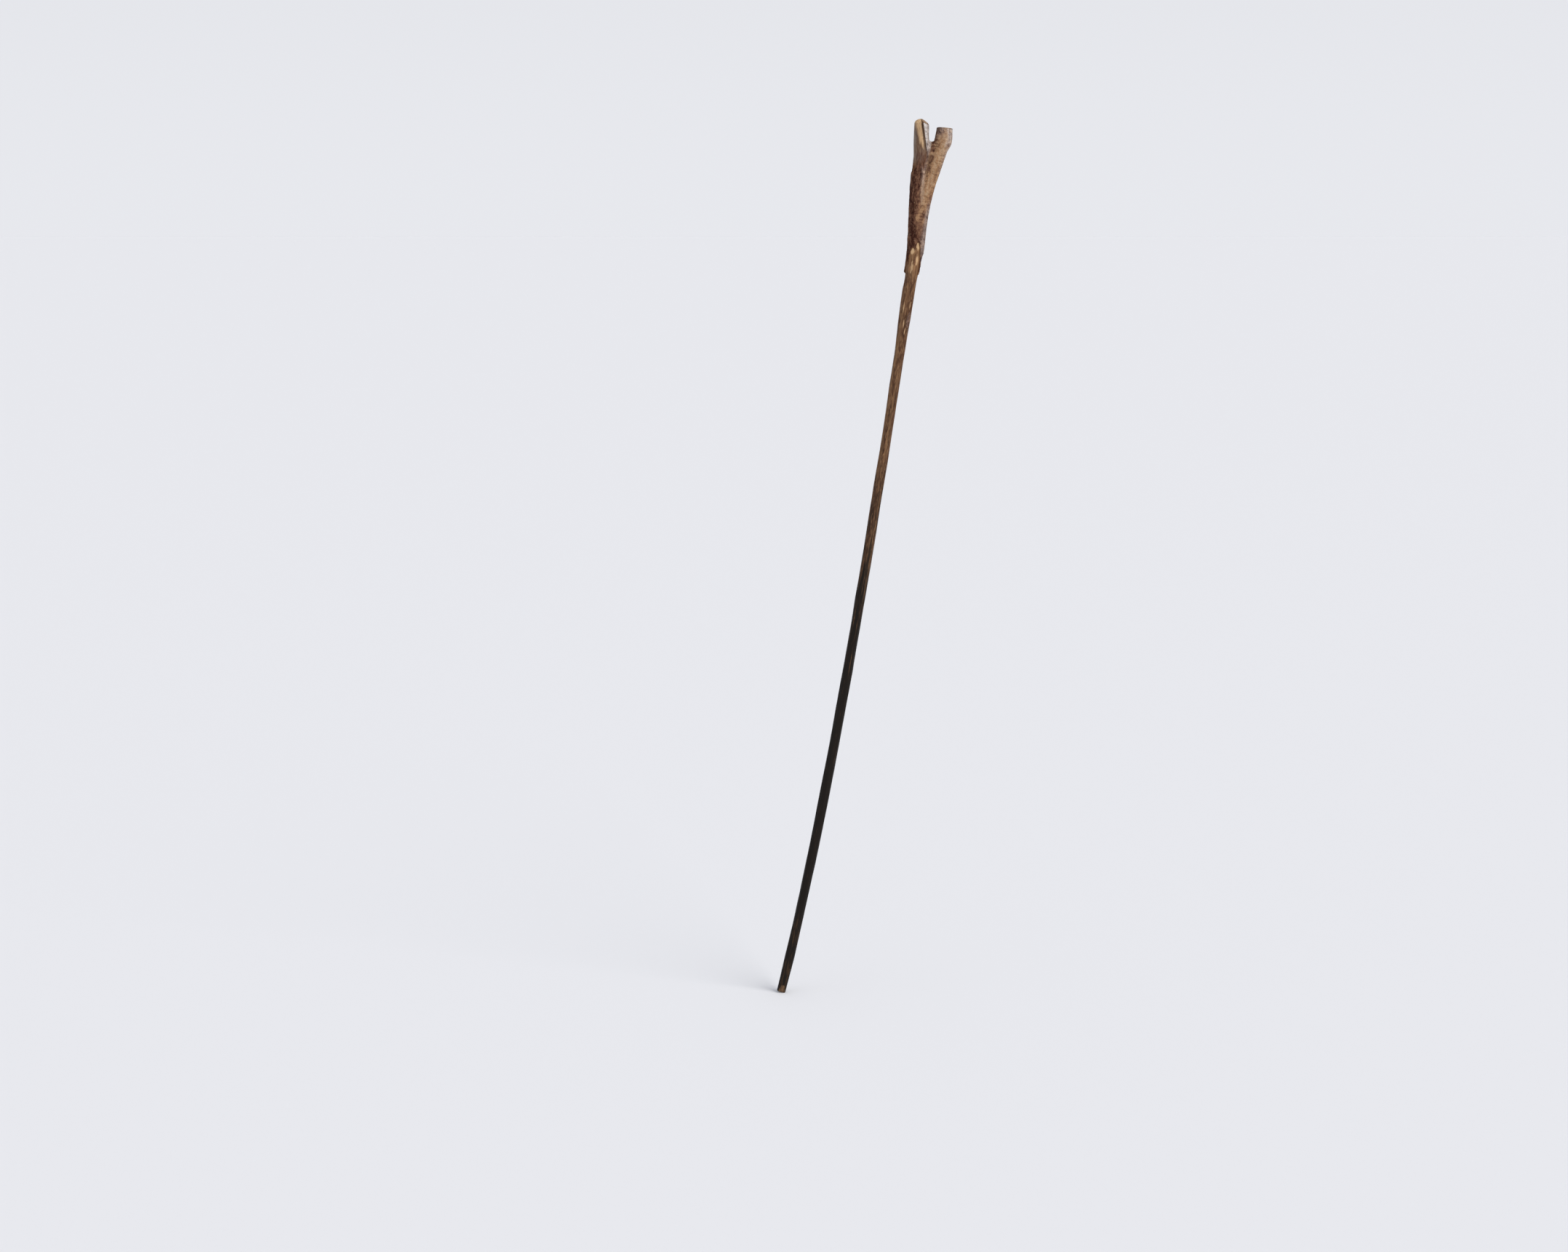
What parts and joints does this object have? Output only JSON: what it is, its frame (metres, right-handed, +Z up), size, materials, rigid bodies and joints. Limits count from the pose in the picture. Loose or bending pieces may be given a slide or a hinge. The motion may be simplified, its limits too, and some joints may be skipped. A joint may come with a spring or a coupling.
{
  "type": "herding stick",
  "caption": "Slim herding stick from a forked twig: bark left on over the fork and neck, bare whittled shaft below the grip, cut prongs and a worn butt.",
  "frame": {"origin": "on the stem's centre line in the middle of the hand grip, just below the bark", "axes": "+Z up as the stick is held, +X to the viewer's right, towards the side prong of the fork, +Y away from the viewer; the stem leans about 8 degrees, with its butt down and to -X"},
  "size_m": [0.062, 0.0076, 0.3201],
  "materials": {
    "whittled_wood": "dry whittled twig wood, golden brown with darker streaks, lighter where freshly cut",
    "bark": "dry thin twig bark, dark brown and tan with grey patches and fine cross wrinkles"
  },
  "bodies": {
    "root": {"forked_stem": "whittled_wood", "bark": "bark", "bark_sliver_upper": "bark", "bark_sliver_lower": "bark"}
  },
  "joints": []
}
